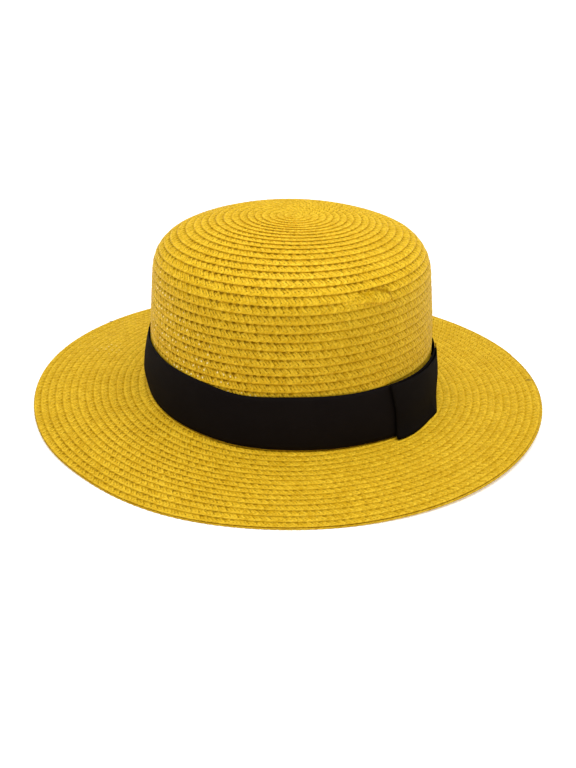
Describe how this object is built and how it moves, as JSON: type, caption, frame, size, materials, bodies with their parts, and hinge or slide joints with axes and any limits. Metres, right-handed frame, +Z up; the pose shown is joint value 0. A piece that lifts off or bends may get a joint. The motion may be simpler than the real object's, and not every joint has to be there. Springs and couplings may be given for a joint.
{
  "type": "straw hat",
  "caption": "Round straw hat with a low soft-edged crown, a flat stiff brim and a black ribbon band with a folded tab, open underneath for the head.",
  "frame": {"origin": "on the floor under the middle of the hat, which stands on its brim", "axes": "+Z up through the tip of the crown, -Y to the front of the head oval, +X to the wearer's left, where the ribbon's tab is"},
  "size_m": [0.3284, 0.3424, 0.1198],
  "materials": {
    "straw": "matte",
    "ribbon": "matte"
  },
  "bodies": {
    "root": {"crown": "straw", "brim": "straw", "ribbon_band": "ribbon", "band_keeper": "ribbon"}
  },
  "joints": []
}
